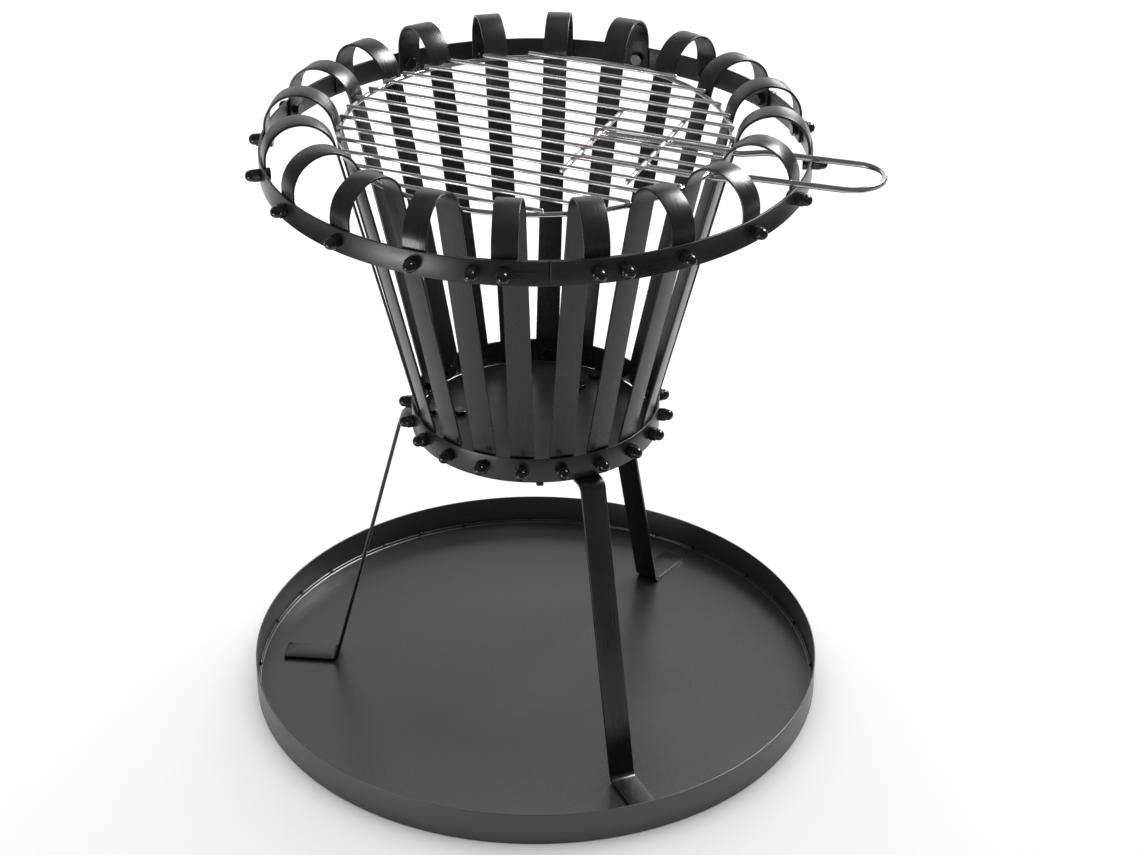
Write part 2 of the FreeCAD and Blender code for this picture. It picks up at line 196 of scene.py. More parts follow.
class Solid:
    """Points and faces of one piece, gathered before its mesh is made."""

    def __init__(self):
        self.points = []
        self.faces = []

    def skin(self, rings, closed=False):
        """Joins a row of equal rings of points, capped at both ends unless closed."""
        first = len(self.points)
        count = len(rings[0])
        for ring in rings:
            self.points.extend(ring)
        joins = len(rings) if closed else len(rings) - 1
        for row in range(joins):
            here = first + row * count
            there = first + (row + 1) % len(rings) * count
            for i in range(count):
                j = (i + 1) % count
                self.faces.append((here + i, here + j, there + j, there + i))
        if not closed:
            last = first + (len(rings) - 1) * count
            self.faces.append(tuple(range(first, first + count)))
            self.faces.append(tuple(range(last, last + count)))

    def sweep(self, stations, section, closed=False, round_end=0.0, nose_steps=3):
        """Carries a section along stations of (place, across, out, along).

        section(inset) gives the outline as (across, out) pairs, shrunk by inset, and
        the two ends are rounded off by round_end.
        """
        def ring(station, inset=0.0, shift=0.0):
            place, across, out, along = station
            centre = place + along * shift
            return [centre + across * a + out * b for a, b in section(inset)]

        if closed:
            self.skin([ring(s) for s in stations], closed=True)
            return
        start, finish = [], []
        for step in range(nose_steps + 1):
            t = math.pi / 2 * step / nose_steps
            inset = round_end * (1 - math.sin(t))
            back = round_end * (1 - math.cos(t))
            start.append(ring(stations[0], inset, back))
            finish.insert(0, ring(stations[-1], inset, -back))
        self.skin(start + [ring(s) for s in stations[1:-1]] + finish)

    def spin(self, place, rows, segments=36, turn=0.0):
        """Turns rows of (x, radius, is_hexagon) about place's X axis."""
        rings = []
        for x, radius, is_hexagon in rows:
            ring = []
            for i in range(segments):
                angle = 2 * math.pi * i / segments
                reach = min(radius, hexagon_reach(angle)) if is_hexagon else radius
                y = reach * math.cos(angle + turn)
                z = reach * math.sin(angle + turn)
                ring.append(place @ Vector((x, y, z)))
            rings.append(ring)
        self.skin(rings)

    def lathe(self, outline, count):
        """Turns an outline of (r, z) points about the vertical axis."""
        turns = [radial(360 / count * i) for i in range(count)]
        self.skin([[turn * r + UP * z for turn in turns] for r, z in outline])

    def bead(self, centre, size, across=12, down=8):
        """A small rounded blob, such as a weld, with half-sizes along X, Y and Z."""
        rings = []
        for row in range(1, down):
            tilt = math.pi * row / down
            ring = []
            for i in range(across):
                a = 2 * math.pi * i / across
                direction = (math.sin(tilt) * math.cos(a), math.sin(tilt) * math.sin(a), math.cos(tilt))
                ring.append(centre + Vector([d * s for d, s in zip(direction, size)]))
            rings.append(ring)
        self.skin(rings)

    def piece(self, name, material, body, slot, *nodes, turn=0.0, sharp=32):
        """The finished object, riding on its body in place of its CAD nodes.

        turn is the azimuth that a piece made along +X is turned to.
        """
        mesh = bpy.data.meshes.new(name)
        mesh.from_pydata(self.points, [], self.faces)
        shape = bmesh.new()
        shape.from_mesh(mesh)
        bmesh.ops.recalc_face_normals(shape, faces=shape.faces)
        for face in shape.faces:
            face.smooth = True
        shape.to_mesh(mesh)
        shape.free()
        mesh.set_sharp_from_angle(angle=math.radians(sharp))
        mesh.materials.append(material)
        made = bpy.data.objects.new(name, mesh)
        made.rotation_euler.z = math.radians(turn)
        bpy.context.scene.collection.objects.link(made)
        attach(made, body)
        if nodes:
            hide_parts(*nodes)
        return made


def hexagon_reach(angle):
    """Distance from a hexagon's centre to its edge."""
    sixth = math.pi / 3
    return HEX_FLATS / 2 / math.cos(angle % sixth - sixth / 2)


def bar_section(width, thickness, corner=BAR_CORNER, steps=3):
    """A rounded rectangle, as a function of how far it is shrunk."""
    def outline(inset):
        radius = max(corner - inset, corner * 0.2)
        half_w = width / 2 - inset - radius
        half_t = thickness / 2 - inset - radius
        points = []
        for quarter, (sign_w, sign_t) in enumerate(((1, 1), (-1, 1), (-1, -1), (1, -1))):
            for step in range(steps + 1):
                a = math.pi / 2 * (quarter + step / steps)
                points.append((sign_w * half_w + radius * math.cos(a),
                               sign_t * half_t + radius * math.sin(a)))
        return points
    return outline


def round_section(diameter, segments=20):
    def outline(inset):
        radius = diameter / 2 - inset
        turns = [2 * math.pi * i / segments for i in range(segments)]
        return [(radius * math.cos(t), radius * math.sin(t)) for t in turns]
    return outline


def arc(centre, radius, start, stop, steps=5):
    """Points (r, z) of a round stretch of an outline, between two angles in degrees."""
    points = []
    for i in range(steps + 1):
        a = math.radians(start + (stop - start) * i / steps)
        points.append((centre[0] + radius * math.cos(a), centre[1] + radius * math.sin(a)))
    return points


def bent_line(start, heading, moves, run_step=0.012, bend_step=4.0):
    """Places (r, z, direction) along a bar made of straight runs and round bends."""
    r, z = start
    angle = math.radians(heading)
    line = [(r, z, angle)]
    for move in moves:
        if move[0] == "run":
            steps = max(1, round(move[1] / run_step))
            advance, turn = move[1] / steps, 0.0
        else:
            steps = max(2, math.ceil(abs(move[2]) / bend_step))
            turn = math.radians(move[2]) / steps
            advance = 2 * move[1] * math.sin(abs(turn) / 2)
        for _ in range(steps):
            r += advance * math.cos(angle + turn / 2)
            z += advance * math.sin(angle + turn / 2)
            angle += turn
            line.append((r, z, angle))
    return line


def upright_stations(line):
    """Stations for a bent line that lies in the vertical plane through the X axis."""
    stations = []
    for r, z, angle in line:
        along = Vector((math.cos(angle), 0, math.sin(angle)))
        out = Vector((-math.sin(angle), 0, math.cos(angle)))
        stations.append((Vector((r, 0, z)), Vector((0, 1, 0)), out, along))
    return stations


def hoop_stations(radius, z, start=0.0, stop=360.0, step=2.0, unevenness=0.0):
    """Stations round the axis for a bar that stands on its edge."""
    count = round((stop - start) / step)
    full_turn = stop - start == 360.0
    stations = []
    for i in range(count if full_turn else count + 1):
        azimuth = start + (stop - start) * i / count
        outward = radial(azimuth)
        a = math.radians(azimuth)
        waves = math.sin(3 * a + 0.7) + 0.6 * math.sin(7 * a + 2.1) + 0.4 * math.sin(13 * a)
        place = outward * (radius + unevenness * waves) + UP * z
        stations.append((place, UP, outward, UP.cross(outward)))
    return stations


def rod_stations(points):
    """Stations along a nearly level line of points."""
    stations = []
    for i, point in enumerate(points):
        along = (points[min(i + 1, len(points) - 1)] - points[max(i - 1, 0)]).normalized()
        across = along.cross(UP).normalized()
        stations.append((point, across, across.cross(along), along))
    return stations


def facing(azimuth, radius, z):
    """A place on the basket whose X axis points straight out."""
    turned = Matrix.Rotation(math.radians(azimuth), 4, "Z")
    return Matrix.Translation(radial(azimuth) * radius + UP * z) @ turned


def facing_down(azimuth, radius, z):
    """A place under the basket whose X axis points straight down."""
    return facing(azimuth, radius, z) @ Matrix.Rotation(math.pi / 2, 4, "Y")


# ---- materials ----------------------------------------------------------

class Look:
    """A procedural material: a Principled shader fed by nodes."""

    def __init__(self, name, **constants):
        self.material = bpy.data.materials.new(name)
        self.material.use_nodes = True
        self.nodes = self.material.node_tree.nodes
        self.links = self.material.node_tree.links
        self.shader = self.nodes["Principled BSDF"]
        for socket, value in constants.items():
            self.shader.inputs[socket.replace("_", " ")].default_value = value
        # the piece's own coordinates, moved on so that no two pieces look the same
        own = self.nodes.new("ShaderNodeTexCoord").outputs["Object"]
        shift = self.nodes.new("ShaderNodeVectorMath")
        self.links.new(own, shift.inputs[0])
        self.links.new(self.nodes.new("ShaderNodeObjectInfo").outputs["Random"], shift.inputs[1])
        self.place = shift.outputs["Vector"]

    def stretched(self, stretch):
        """The piece's coordinates, with patterns drawn out along X, Y and Z."""
        mapping = self.nodes.new("ShaderNodeMapping")
        mapping.inputs["Scale"].default_value = [1 / factor for factor in stretch]
        self.links.new(self.place, mapping.inputs["Vector"])
        return mapping.outputs["Vector"]

    def noise(self, grain, detail=3.0, roughness=0.5, vector=None):
        """Noise whose main lumps are about grain metres across."""
        node = self.nodes.new("ShaderNodeTexNoise")
        node.inputs["Scale"].default_value = 1 / grain
        node.inputs["Detail"].default_value = detail
        node.inputs["Roughness"].default_value = roughness
        self.links.new(vector or self.place, node.inputs["Vector"])
        return node.outputs["Fac"]

    def spread(self, source, low, high, source_low=0.3, source_high=0.7):
        node = self.nodes.new("ShaderNodeMapRange")
        for socket, value in (("From Min", source_low), ("From Max", source_high),
                              ("To Min", low), ("To Max", high)):
            node.inputs[socket].default_value = value
        self.links.new(source, node.inputs["Value"])
        return node.outputs["Result"]

    def combine(self, operation, first, second):
        node = self.nodes.new("ShaderNodeMath")
        node.operation = operation
        for index, value in enumerate((first, second)):
            if isinstance(value, float):
                node.inputs[index].default_value = value
            else:
                self.links.new(value, node.inputs[index])
        return node.outputs["Value"]

    def mix(self, share, first, second):
        """Mixes two colours; each is an RGB triple or another node's output."""
        node = self.nodes.new("ShaderNodeMix")
        node.data_type = "RGBA"
        self.links.new(share, node.inputs["Factor"])
        for socket, value in ((node.inputs[6], first), (node.inputs[7], second)):
            if isinstance(value, tuple):
                socket.default_value = (*value, 1)
            else:
                self.links.new(value, socket)
        return node.outputs[2]

    def edges(self, radius):
        """1 where the surface turns a corner tighter than radius, 0 on flat ground."""
        bevel = self.nodes.new("ShaderNodeBevel")
        bevel.samples = 6
        bevel.inputs["Radius"].default_value = radius
        plain = self.nodes.new("ShaderNodeNewGeometry")
        dot = self.nodes.new("ShaderNodeVectorMath")
        dot.operation = "DOT_PRODUCT"
        self.links.new(bevel.outputs["Normal"], dot.inputs[0])
        self.links.new(plain.outputs["Normal"], dot.inputs[1])
        return self.spread(dot.outputs["Value"], 1.0, 0.0, 0.86, 0.99)

    def bump(self, height, distance, strength=1.0, under=None):
        node = self.nodes.new("ShaderNodeBump")
        node.inputs["Strength"].default_value = strength
        node.inputs["Distance"].default_value = distance
        self.links.new(height, node.inputs["Height"])
        if under is not None:
            self.links.new(under, node.inputs["Normal"])
        return node.outputs["Normal"]

    def feed(self, **sources):
        for socket, source in sources.items():
            self.links.new(source, self.shader.inputs[socket.replace("_", " ")])
        return self.material


def paint(name, dark, light, edge_wear_and_sheen_colour, roughness, rolled, patch=0.045, index=1.5):
    """Baked-on satin paint over rolled steel, a little paler on the edges: partly thinner paint, partly
    a painted highlight where the edges catch light.

    rolled is how far the steel's rolling marks are drawn out along X, Y and Z.
    """
    look = Look(name, IOR=index)
    clouds = look.noise(patch, 4.0, 0.6)
    speckle = look.noise(0.0011, 2.0, 0.6)
    marks = look.noise(0.0009, 3.0, 0.65, look.stretched(rolled))
    shade = look.combine("ADD", look.spread(clouds, 0.0, 0.65), look.spread(speckle, 0.0, 0.35))
    edge_patches = look.spread(look.noise(0.006, 4.0, 0.7), 0.0, 1.0, 0.38, 0.66)
    # paler edges: partly wear, partly a painted highlight along the edges
    worn_and_sheen = look.combine("MULTIPLY", look.edges(0.0007), edge_patches)
    colour = look.mix(worn_and_sheen, look.mix(shade, dark, light), edge_wear_and_sheen_colour)
    gloss = look.combine("ADD", look.spread(clouds, *roughness), look.spread(marks, -0.06, 0.06))
    bumps = look.bump(look.noise(0.0021, 2.0, 0.5), 0.00006, 0.5)
    bumps = look.bump(marks, 0.00005, 0.7, bumps)
    return look.feed(Base_Color=colour, Roughness=gloss, Normal=bumps)


def chrome(name, clean, stained, roughness):
    """Bright plated wire, drawn along the grate, with faint grey stains."""
    look = Look(name, Metallic=1.0)
    drawn = look.noise(0.0009, 2.0, 0.6, look.stretched((30, 1, 1)))
    stains = look.noise(0.018, 5.0, 0.65)
    colour = look.mix(look.spread(stains, 0.0, 1.0), clean, stained)
    gloss = look.combine("ADD", look.spread(stains, *roughness), look.spread(drawn, -0.03, 0.05))
    return look.feed(Base_Color=colour, Roughness=gloss, Normal=look.bump(drawn, 0.00004, 0.5))


def weld_metal(name):
    """Plated weld beads: duller and a little browner than the wire."""
    look = Look(name, Metallic=1.0)
    scale = look.noise(0.0012, 4.0, 0.7)
    colour = look.mix(look.spread(scale, 0.0, 1.0), (0.62, 0.59, 0.56), (0.36, 0.32, 0.29))
    gloss = look.spread(scale, 0.22, 0.45)
    return look.feed(Base_Color=colour, Roughness=gloss, Normal=look.bump(scale, 0.0002, 0.6))


# how far rolling marks are drawn out along X, Y and Z
ALONG_STRAP = (25, 1, 25)
ROUND_HOOP = (25, 25, 1)
EVEN = (1, 1, 1)
BLACK = (0.0105, 0.0105, 0.011)
SOFT_BLACK = (0.0175, 0.0175, 0.018)
# paler black for the edges: partly wear, partly a painted highlight
WORN_AND_SHEEN_BLACK = (0.045, 0.044, 0.043)
BAR_PAINT = paint("black_heat_paint", BLACK, SOFT_BLACK, WORN_AND_SHEEN_BLACK, (0.26, 0.36), ALONG_STRAP)
# a darker copy of the black paint: painted shade on the legs
SHADED_LEG_PAINT = paint("black_leg_paint_painted_shade", (0.004, 0.004, 0.0045), (0.007, 0.007, 0.0075),
                  (0.040, 0.039, 0.038), (0.28, 0.34), ALONG_STRAP, index=1.6)
HOOP_PAINT = paint("black_hoop_paint", BLACK, SOFT_BLACK, WORN_AND_SHEEN_BLACK, (0.28, 0.38), ROUND_HOOP)
TRAY_PAINT = paint("tray_heat_paint", (0.013, 0.013, 0.0135), (0.018, 0.018, 0.0185),
                   (0.045, 0.045, 0.044), (0.28, 0.34), EVEN, patch=0.12, index=1.7)
# a paler copy of the tray paint: painted light on the tray wall
LIT_WALL_PAINT = paint("tray_wall_paint_painted_light", (0.033, 0.033, 0.0335), (0.041, 0.041, 0.0415),
                   (0.050, 0.050, 0.049), (0.33, 0.40), ROUND_HOOP, patch=0.12, index=1.7)
NUT_PAINT = paint("black_plated_steel", (0.007, 0.007, 0.008), (0.013, 0.013, 0.014),
                  (0.05, 0.05, 0.05), (0.15, 0.21), EVEN, patch=0.01)
WIRE_CHROME = chrome("plated_wire", (0.84, 0.775, 0.785), (0.74, 0.675, 0.685), (0.24, 0.35))
# darker and smoother than the wire plating; on the rim its darker tone is painted shade
HANDLE_CHROME = chrome("plated_handle", (0.66, 0.655, 0.655), (0.56, 0.555, 0.555), (0.10, 0.18))
WELD = weld_metal("plated_weld")

# ---- ash tray -----------------------------------------------------------


def tray_floor():
    """Disc whose edge is turned up to a low lip inside the wall."""
    under = TRAY_BOTTOM + FLOOR_LIFT
    bend_r = FLOOR_R - TRAY_LIP_R - TRAY_SHEET
    outer_bend_r = TRAY_LIP_R + TRAY_SHEET
    top = [(DISC_MIDDLE_R, FLOOR_TOP), (bend_r * 0.5, FLOOR_TOP)]
    inner_bend = arc((bend_r, FLOOR_TOP + TRAY_LIP_R), TRAY_LIP_R, -90, 0)
    lip = arc((FLOOR_R - TRAY_SHEET / 2, TRAY_LIP), TRAY_SHEET / 2, 180, 0)
    outer_bend = arc((bend_r, under + outer_bend_r), outer_bend_r, 0, -90)
    bottom = [(bend_r * 0.5, under), (DISC_MIDDLE_R, under)]
    solid = Solid()
    solid.lathe(top + inner_bend + lip + outer_bend + bottom, TRAY_SEGMENTS)
    solid.piece("tray_floor_sheet", TRAY_PAINT, "tray", "tray_paint", "tray_floor")


def tray_wall():
    solid = Solid()
    section = bar_section(TRAY_TOP - TRAY_BOTTOM, TRAY_SHEET, WALL_CORNER)
    middle = (TRAY_TOP + TRAY_BOTTOM) / 2
    stations = hoop_stations(TRAY_R - TRAY_SHEET / 2, middle, unevenness=HOOP_WAVE)
    solid.sweep(stations, section, closed=True)
    # the wall takes the paler copy of the tray paint: painted light
    solid.piece("tray_wall_hoop", LIT_WALL_PAINT, "tray", "tray_paint", "tray_wall")


def tray_tacks():
    """Small welds that hold the wall to the floor's lip."""
    chance = random.Random(11)
    solid = Solid()
    for i in range(TACK_COUNT):
        azimuth = 360 / TACK_COUNT * i + chance.uniform(-TACK_SCATTER, TACK_SCATTER)
        size = chance.uniform(*TACK_SIZES)
        centre = radial(azimuth) * (FLOOR_R - TACK_INSET) + UP * (TRAY_LIP + TACK_RISE)
        solid.bead(centre, (size, size, size * TACK_FLATNESS))
    solid.piece("tray_tack_welds", NUT_PAINT, "tray", "tray_paint")


# ---- basket frame -------------------------------------------------------

def upper_ring():
    middle = sum(SPLICE_AZIMUTHS) / 2
    half_gap = math.degrees(RING_SPLIT / 2 / RING_R)
    section = bar_section(*FLAT_BAR)
    solid = Solid()
    stations = hoop_stations(RING_R - FLAT_BAR[1] / 2, RING_MID_Z, middle + half_gap,
                             middle + 360 - half_gap, unevenness=HOOP_WAVE)
    solid.sweep(stations, section, round_end=RING_END)
    solid.piece("upper_ring_bar", HOOP_PAINT, "basket", "black_paint", "upper_ring")


def ring_splice():
    solid = Solid()
    stations = hoop_stations(RING_INNER_R - FLAT_BAR[1] / 2, RING_MID_Z, *SPLICE_AZIMUTHS, step=1.5)
    solid.sweep(stations, bar_section(*FLAT_BAR), round_end=RING_END)
    solid.piece("ring_splice_plate", HOOP_PAINT, "basket", "black_paint", "ring_splice")


def lower_band():
    solid = Solid()
    stations = hoop_stations(BAND_R - BAND_BAR[1] / 2, BAND_MID_Z, step=3.0, unevenness=BAND_WAVE)
    solid.sweep(stations, bar_section(*BAND_BAR), closed=True)
    solid.piece("lower_band_hoop", HOOP_PAINT, "basket", "black_paint", "lower_band")


def at_splice(azimuth):
    """True where a strap is bolted through the splice as well as the ring."""
    return SPLICE_AZIMUTHS[0] < (azimuth + 180) % 360 - 180 < SPLICE_AZIMUTHS[1]


def flat_behind_curve(radius, half_width):
    """Distance from the axis of a flat face whose edges touch a cylinder's inside."""
    return math.sqrt(radius ** 2 - half_width ** 2)


def strap_ring_face(azimuth):
    """Distance from the axis of a strap's outer face where it meets the ring."""
    seat_r = RING_INNER_R - (FLAT_BAR[1] if at_splice(azimuth) else 0)
    return flat_behind_curve(seat_r, FLAT_BAR[0] / 2)


def strap_line(azimuth):
    """Centre line of a strap: up in the band, leaning out, and curled over."""
    width, thickness = FLAT_BAR
    foot_r = flat_behind_curve(BAND_INNER_R, width / 2) - thickness / 2
    tip_r = strap_ring_face(azimuth) - thickness / 2
    full_tip_r = flat_behind_curve(RING_INNER_R, width / 2) - thickness / 2
    curl_r = STRAP_CURL_R - (full_tip_r - tip_r) / 2
    across = tip_r - curl_r - foot_r
    up = STRAP_CURL_Z - STRAP_KNEE_Z
    lean = math.acos(curl_r / math.hypot(across, up)) - math.atan2(up, across)
    run = across * math.sin(lean) + up * math.cos(lean)
    knee = STRAP_KNEE_R * math.tan(lean / 2)
    return bent_line((foot_r, STRAP_BOTTOM), 90, [
        ("run", STRAP_KNEE_Z - STRAP_BOTTOM - knee),
        ("bend", STRAP_KNEE_R, -math.degrees(lean)),
        ("run", run - knee),
        ("bend", curl_r, math.degrees(lean) - 180),
        ("run", STRAP_CURL_Z - STRAP_TIP_Z),
    ])


def strap(number, azimuth):
    """A flat bar bent by hand: each curl is a little different from the next."""
    chance = random.Random(100 + number)
    lift = chance.uniform(*CURL_LIFT)
    sway = chance.uniform(*CURL_SWAY)
    push = chance.uniform(*CURL_PUSH)
    top = STRAP_CURL_Z + STRAP_CURL_R
    stations = []
    for place, across, out, along in upright_stations(strap_line(azimuth)):
        share = min(1.0, max(0.0, (place.z - STRAP_FREE_Z) / (top - STRAP_FREE_Z)))
        share = share * share * (3 - 2 * share)
        place = place + Vector((push, sway, lift)) * share
        stations.append((place, across, out, along))
    solid = Solid()
    solid.sweep(stations, bar_section(*FLAT_BAR), round_end=STRAP_END)
    node = "strap_%02d" % number
    solid.piece(node + "_bar", BAR_PAINT, "basket", "black_paint", node, turn=azimuth)


# ---- base plate and legs ------------------------------------------------

def base_plate():
    """Disc inside the band, with three lugs that reach under it."""
    middle_r = PLATE_R * 0.6
    flat_r = PLATE_R - PLATE_EDGE
    solid = Solid()
    solid.lathe([
        (DISC_MIDDLE_R, PLATE_TOP), (middle_r, PLATE_TOP), (flat_r, PLATE_TOP),
        (PLATE_R, PLATE_TOP - PLATE_EDGE), (PLATE_R, PLATE_BOTTOM + PLATE_EDGE),
        (flat_r, PLATE_BOTTOM), (middle_r, PLATE_BOTTOM), (DISC_MIDDLE_R, PLATE_BOTTOM),
    ], PLATE_SEGMENTS)
    width, reach = PLATE_LUG
    drop = PLATE_BOTTOM - PLATE_LUG_BOTTOM
    for azimuth in PLATE_LUG_AZIMUTHS:
        outward = radial(azimuth)
        middle = UP * (PLATE_BOTTOM - drop / 2 + LUG_SINK)
        across = UP.cross(outward)
        ends = [outward * r + middle for r in (PLATE_R - 2 * drop, PLATE_R, reach)]
        stations = [(end, across, UP, outward) for end in ends]
        solid.sweep(stations, bar_section(width, drop, LUG_CORNER), round_end=LUG_END)
    solid.piece("base_plate_disc", HOOP_PAINT, "basket", "black_paint", "base_plate")


def leg(number, azimuth):
    thickness = LEG_BAR[1]
    tab_z = PLATE_BOTTOM - thickness / 2
    foot_z = FLOOR_TOP + thickness / 2
    slope = math.atan2(tab_z - foot_z, LEG_ANKLE_R - LEG_KNEE_R)
    trim = LEG_BEND_R * math.tan(slope / 2)
    length = math.hypot(tab_z - foot_z, LEG_ANKLE_R - LEG_KNEE_R)
    line = bent_line((LEG_TAB_R, tab_z), 0, [
        ("run", LEG_KNEE_R - LEG_TAB_R - trim),
        ("bend", LEG_BEND_R, -math.degrees(slope)),
        ("run", length - 2 * trim),
        ("bend", LEG_BEND_R, math.degrees(slope)),
        ("run", LEG_TOE_R - LEG_ANKLE_R - trim),
    ], bend_step=6.0)
    solid = Solid()
    solid.sweep(upright_stations(line), bar_section(*LEG_BAR, LEG_CORNER), round_end=LEG_END)
    node = "leg_%d" % number
    # the legs take the darker copy of the black paint: painted shade
    solid.piece(node + "_bar", SHADED_LEG_PAINT, "basket", "black_paint", node, turn=azimuth)


# ---- fasteners ----------------------------------------------------------

def hexagon_rows(start, height):
    """Rows of a hexagon prism whose corners are turned off at both faces."""
    flat_r = HEX_FLATS / 2 * HEX_FACE_SHARE
    corner_r = HEX_FLATS / math.sqrt(3)
    widening = corner_r - flat_r
    depth = widening * math.tan(math.radians(30))
    steps = 4
    rows = [(start, HEX_MIDDLE_R, False), (start, flat_r, False)]
    for i in range(1, steps + 1):
        rows.append((start + depth * i / steps, flat_r + widening * i / steps, True))
    for i in range(steps, 0, -1):
        rows.append((start + height - depth * i / steps, flat_r + widening * i / steps, True))
    rows.append((start + height, flat_r, False))
    return rows


def bolt_rows(head_face, shank_end):
    """Hexagon head and a plain shank with a chamfered end."""
    rows = hexagon_rows(head_face - HEAD_HEIGHT, HEAD_HEIGHT)
    rows += [(head_face, SHANK_R, False), (shank_end - SHANK_CHAMFER, SHANK_R, False)]
    rows += [(shank_end, SHANK_R - SHANK_CHAMFER, False)]
    return rows


def cap_nut_rows(seat):
    """Hexagon, a short neck and a dome."""
    rows = hexagon_rows(seat, CAP_HEX_HEIGHT)
    neck = seat + CAP_HEX_HEIGHT
    neck_end = neck + CAP_NECK
    fillet_height, fillet_width = CAP_FILLET
    rows.append((neck + fillet_height / 4, CAP_DOME_R + fillet_width, False))
    rows.append((neck + fillet_height, CAP_DOME_R, False))
    steps = 9
    for i in range(steps):
        a = math.pi / 2 * i / steps
        rows.append((neck_end + CAP_DOME_R * math.sin(a), CAP_DOME_R * math.cos(a), False))
    tip_height, tip_r = CAP_TIP
    rows.append((neck_end + CAP_DOME_R * tip_height, CAP_DOME_R * tip_r, False))
    return rows


def ring_azimuths():
    return STRAP_AZIMUTHS + list(SPLICE_BOLT_AZIMUTHS)


def fastener_set(name, node, places, rows_for):
    """One group of fasteners, each left at its own turn as a spanner would."""
    chance = random.Random(len(name))
    solid = Solid()
    for key, place in places:
        solid.spin(place, rows_for(key), turn=chance.uniform(0, math.pi / 3))
    solid.piece(name, NUT_PAINT, "basket", "black_fastener", node, sharp=28)


def ring_bolt_rows(azimuth):
    """A bolt whose head bears on a strap, or on the splice plate where it has no strap."""
    if azimuth in SPLICE_BOLT_AZIMUTHS:
        head_face = flat_behind_curve(RING_INNER_R - FLAT_BAR[1], HEX_FLATS / math.sqrt(3))
    else:
        head_face = strap_ring_face(azimuth) - FLAT_BAR[1]
    return bolt_rows(head_face, RING_R + SHANK_PAST_HOOP)


def fasteners():
    """Every bolt and nut, in groups of the same kind."""
    ring = [(a, facing(a, 0, RING_MID_Z)) for a in ring_azimuths()]
    band = [(a, facing(a, 0, BAND_MID_Z)) for a in STRAP_AZIMUTHS]
    band_face = flat_behind_curve(BAND_INNER_R, FLAT_BAR[0] / 2) - FLAT_BAR[1]
    band_bolt = bolt_rows(band_face, BAND_R + SHANK_PAST_HOOP)
    fastener_set("ring_bolt_set", "ring_bolts", ring, ring_bolt_rows)
    fastener_set("ring_cap_nut_set", "ring_cap_nuts", ring, lambda a: cap_nut_rows(RING_R))
    fastener_set("band_bolt_set", "band_bolts", band, lambda a: band_bolt)
    fastener_set("band_cap_nut_set", "band_cap_nuts", band, lambda a: cap_nut_rows(BAND_R))

    nut_drop = PLATE_SHEET + LEG_BAR[1]
    leg_places = [(a, facing_down(a, r, PLATE_TOP)) for a in LEG_AZIMUTHS for r in LEG_BOLT_RADII]
    leg_bolt = bolt_rows(0, nut_drop + PLAIN_NUT_HEIGHT + SHANK_PAST_NUT)
    leg_nut = hexagon_rows(nut_drop, PLAIN_NUT_HEIGHT)
    fastener_set("leg_bolt_set", "leg_bolts", leg_places, lambda a: leg_bolt)
    fastener_set("leg_nut_set", "leg_nuts", leg_places, lambda a: leg_nut)


# ---- cooking grate ------------------------------------------------------

def rod(node, points, diameter, look=WIRE_CHROME, azimuth=GRATE_AZIMUTH, suffix="_rod"):
    """A plated round rod along a line of points, with its ends rounded off."""
    solid = Solid()
    solid.sweep(rod_stations(points), round_section(diameter), round_end=diameter * ROD_ROUNDING)
    solid.piece(node + suffix, look, "grate", "grate_chrome", node, turn=azimuth)


def straight_points(start, end, step=0.02):
    """Evenly spaced points from start to end, no more than about a step apart."""
    count = max(2, round((end - start).length / step))
    return [start.lerp(end, i / count) for i in range(count + 1)]


def wire_offsets():
    """Each wire's distance from the grate's middle, all of them parallel."""
    return [(i - (WIRE_COUNT - 1) / 2) * WIRE_PITCH for i in range(WIRE_COUNT)]


def grate_wires():
    for number, offset in enumerate(wire_offsets(), start=1):
        half = math.sqrt(GRATE_REACH ** 2 - (abs(offset) + GRATE_WIRE / 2) ** 2)
        points = straight_points(Vector((-half, offset, WIRE_Z)), Vector((half, offset, WIRE_Z)))
        rod("grate_wire_%02d" % number, points, GRATE_WIRE)


def grate_rim():
    solid = Solid()
    solid.sweep(hoop_stations(RIM_R, RIM_Z), round_section(RIM_WIRE), closed=True)
    # the rim takes the darker handle plating: painted shade on the rim
    solid.piece("grate_rim_rod", HANDLE_CHROME, "grate", "grate_chrome", "grate_rim")


def grate_crossbars():
    for number, distance in enumerate(CROSSBAR_OFFSETS, start=1):
        ends = [Vector((distance, side * CROSSBAR_HALF, RIM_Z)) for side in (-1, 1)]
        rod("grate_crossbar_%d" % number, straight_points(*ends), RIM_WIRE)


def handle_line():
    """One side of the handle as (distance, z, direction), stepped up outside the rim."""
    steep, steep_run = HANDLE_STEP
    inner_end = (HANDLE_INNER_END, HANDLE_Z)
    moves = [
        ("run", HANDLE_KINK - HANDLE_INNER_END),
        ("bend", HANDLE_KINK_R, steep),
        ("run", steep_run),
        ("bend", HANDLE_KINK_R, HANDLE_RISE - steep),
    ]
    distance, _, angle = bent_line(inner_end, 0, moves)[-1]
    moves.append(("run", (HANDLE_END - distance) / math.cos(angle) - HANDLE_HALF_WIDTH))
    return bent_line(inner_end, 0, moves, bend_step=3.0)


